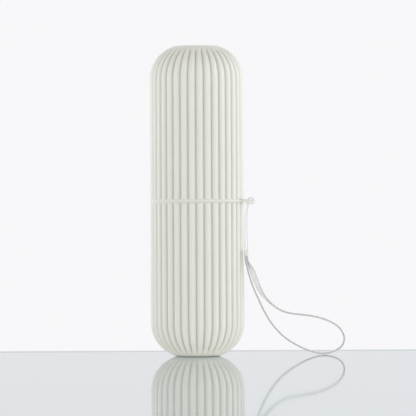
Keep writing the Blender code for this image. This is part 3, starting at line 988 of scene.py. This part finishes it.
class SCENE_OT_toothbrush_stage(Operator):
    """Make the table, the light and the camera"""

    bl_idname = "scene.toothbrush_stage"
    bl_label = "Stage"

    def execute(self, context):
        studio = settings().studio
        facing = Matrix.Rotation(studio.bearing, 4, "Z")
        self.make_table(studio, facing)
        self.make_world(studio, facing)
        self.make_lamp(studio, facing)
        self.make_camera(studio, facing)
        bpy.context.scene.view_settings.view_transform = "Standard"
        return {"FINISHED"}

    def make_table(self, studio, facing):
        """A large plain table that ends a little way behind the case."""
        shape = bmesh.new()
        bmesh.ops.create_grid(shape, x_segments=1, y_segments=1, size=1)
        middle = (0, (studio.table_depth - TABLE_REACH) / 2, -studio.glass)
        half = (TABLE_REACH, (studio.table_depth + TABLE_REACH) / 2, 1, 1)
        place = facing @ Matrix.Translation(middle) @ Matrix.Diagonal(half)
        bmesh.ops.transform(shape, matrix=place, verts=shape.verts)
        mesh = bpy.data.meshes.new("table")
        shape.to_mesh(mesh)
        shape.free()
        mesh.materials.append(self.glass_top(studio))
        table = linked("table", mesh)

    def glass_top(self, studio):
        """Backed glass: the camera sees paint under a mirror that grows at a flat angle, and the case a pale table."""
        made = Shader("backed glass")
        inputs = {"Vector": made.coordinates["Object"], "Rotation": (0, 0, -studio.bearing)}
        spot = made.node("ShaderNodeSeparateXYZ", {"Vector": made.node("ShaderNodeMapping", inputs)})
        strip = made.maths("GREATER_THAN", spot.outputs["Y"], studio.table_depth - studio.edge_strip)
        shaded = made.mixed(strip, studio.table, shade_of(studio.table, STRIP_SHADE))
        paint = made.node("ShaderNodeBsdfDiffuse", {"Color": shaded})
        mirror = made.node("ShaderNodeBsdfGlossy", {"Color": studio.reflection, "Roughness": MIRROR_ROUGHNESS})
        gain = made.maths("SUBTRACT", MIRROR_GAIN, made.maths("MULTIPLY", strip, STRIP_MIRROR_LOSS))
        share = made.maths("MULTIPLY", made.node("ShaderNodeFresnel", {"IOR": GLASS_IOR}), gain)
        matt = made.node("ShaderNodeBsdfDiffuse", {"Color": studio.pale_table})
        glow = made.node("ShaderNodeEmission", {"Color": studio.pale_table, "Strength": studio.glow})
        pale = made.node("ShaderNodeAddShader", {0: matt, 1: glow})
        ray = made.node("ShaderNodeLightPath").outputs
        seen = made.blended(ray["Is Camera Ray"], pale, made.blended(share, paint, mirror))
        made.put(seen, made.tree.nodes["Material Output"].inputs["Surface"])
        made.tree.nodes.remove(made.surface)
        return made.material

    def make_world(self, studio, facing):
        """Soft light, strongest at eye level and from both sides, and a plain backdrop that dims upwards in mirrors."""
        world = bpy.data.worlds.new("studio")
        world.use_nodes = True
        made = Nodes(world.node_tree)
        way = made.node("ShaderNodeTexCoord").outputs["Generated"]
        up = made.node("ShaderNodeSeparateXYZ", {"Vector": way}).outputs["Z"]
        right = facing @ Vector((1, 0, 0))
        across = made.node("ShaderNodeVectorMath", {0: way, 1: right}, operation="DOT_PRODUCT").outputs["Value"]
        squared = made.maths("POWER", across, 2)
        from_sides = made.maths("MULTIPLY", squared, studio.sides)
        sideways = made.maths("ADD", from_sides, made.maths("MULTIPLY", across, studio.lean))
        by_height = made.ranged(up, studio.fill, studio.overhead, 0.0, 1.0)
        light = made.tree.nodes["Background"]
        made.put(made.maths("ADD", by_height, sideways), light.inputs["Strength"])
        made.put(made.mixed(squared, studio.front_light, studio.side_light), light.inputs["Color"])
        ray = made.node("ShaderNodeLightPath").outputs
        mirrored = made.maths("SUBTRACT", 1.0, ray["Is Camera Ray"])
        dimmed = made.ranged(made.maths("MULTIPLY", up, mirrored), 1.0, BACKDROP_DIM, BACKDROP_DIM_START, 1.0)
        seen = made.node("ShaderNodeBackground", {"Color": studio.backdrop, "Strength": dimmed})
        direct = made.maths("MAXIMUM", ray["Is Camera Ray"], ray["Is Glossy Ray"])
        direct = made.maths("MAXIMUM", direct, ray["Is Transmission Ray"])
        made.put(made.blended(direct, light, seen), made.tree.nodes["World Output"].inputs["Surface"])
        bpy.context.scene.world = world

    def make_lamp(self, studio, facing):
        """One large soft lamp, high on the right, aimed at the middle of the case."""
        lamp = bpy.data.lights.new("key_lamp", "AREA")
        lamp.shape = "DISK"
        lamp.size = KEY_SIZE
        lamp.energy = studio.key
        place = facing @ Vector(KEY_PLACE)
        made = linked("key_lamp", lamp)
        made.location = place
        made.rotation_euler = (Vector((0, 0, SEAM_HEIGHT)) - place).to_track_quat("-Z", "Y").to_euler()

    def make_camera(self, studio, facing):
        """Just above the middle of the case, aimed a little right of its axis, and rolled as the photograph is."""
        camera = bpy.data.cameras.new("camera")
        camera.lens = studio.lens
        camera.sensor_width = SENSOR_WIDTH
        camera.clip_end = FAR_CLIP
        eye = facing @ Vector((0, -studio.distance, studio.eye_height))
        aim = facing @ Vector((studio.aim_right, 0, studio.aim_height))
        turn = (aim - eye).to_track_quat("-Z", "Y").to_matrix().to_4x4()
        made = linked("camera", camera)
        made.matrix_world = Matrix.Translation(eye) @ turn @ Matrix.Rotation(studio.roll, 4, "Z")
        bpy.context.scene.camera = made


class VIEW3D_PT_toothbrush_cup(Panel):
    """Every size and finish, and a button for each step"""

    bl_label = "Toothbrush cup"
    bl_idname = "VIEW3D_PT_toothbrush_cup"
    bl_space_type = "VIEW_3D"
    bl_region_type = "UI"
    bl_category = "Toothbrush cup"

    def draw(self, context):
        chosen = context.scene.toothbrush_cup
        for title, group in (
            ("Cups", chosen.cup),
            ("Strap", chosen.strap),
            ("Finishes", chosen.finish),
            ("Studio", chosen.studio),
        ):
            box = self.layout.box()
            box.label(text=title)
            for key in group.__annotations__:
                box.prop(group, key)
        for operator in OPERATORS:
            self.layout.operator(operator.bl_idname)


OPERATORS = (
    SCENE_OT_toothbrush_stage,
    MESH_OT_wrist_strap,
    MESH_OT_cup_shells,
    MESH_OT_joining_ring,
    MESH_OT_seals,
    MESH_OT_brush_rack,
)
CLASSES = (CupSizes, StrapSizes, Finishes, Studio, ToothbrushCup, *OPERATORS, VIEW3D_PT_toothbrush_cup)


def register():
    for item in CLASSES:
        bpy.utils.register_class(item)
    bpy.types.Scene.toothbrush_cup = PointerProperty(type=ToothbrushCup)


def unregister():
    del bpy.types.Scene.toothbrush_cup
    for item in reversed(CLASSES):
        bpy.utils.unregister_class(item)


def main():
    register()
    bpy.ops.scene.toothbrush_stage()
    bpy.ops.mesh.toothbrush_wrist_strap()
    bpy.ops.mesh.toothbrush_cup_shells()
    bpy.ops.mesh.toothbrush_joining_ring()
    bpy.ops.mesh.toothbrush_seals()
    bpy.ops.mesh.toothbrush_rack()


if __name__ == "__main__":
    main()
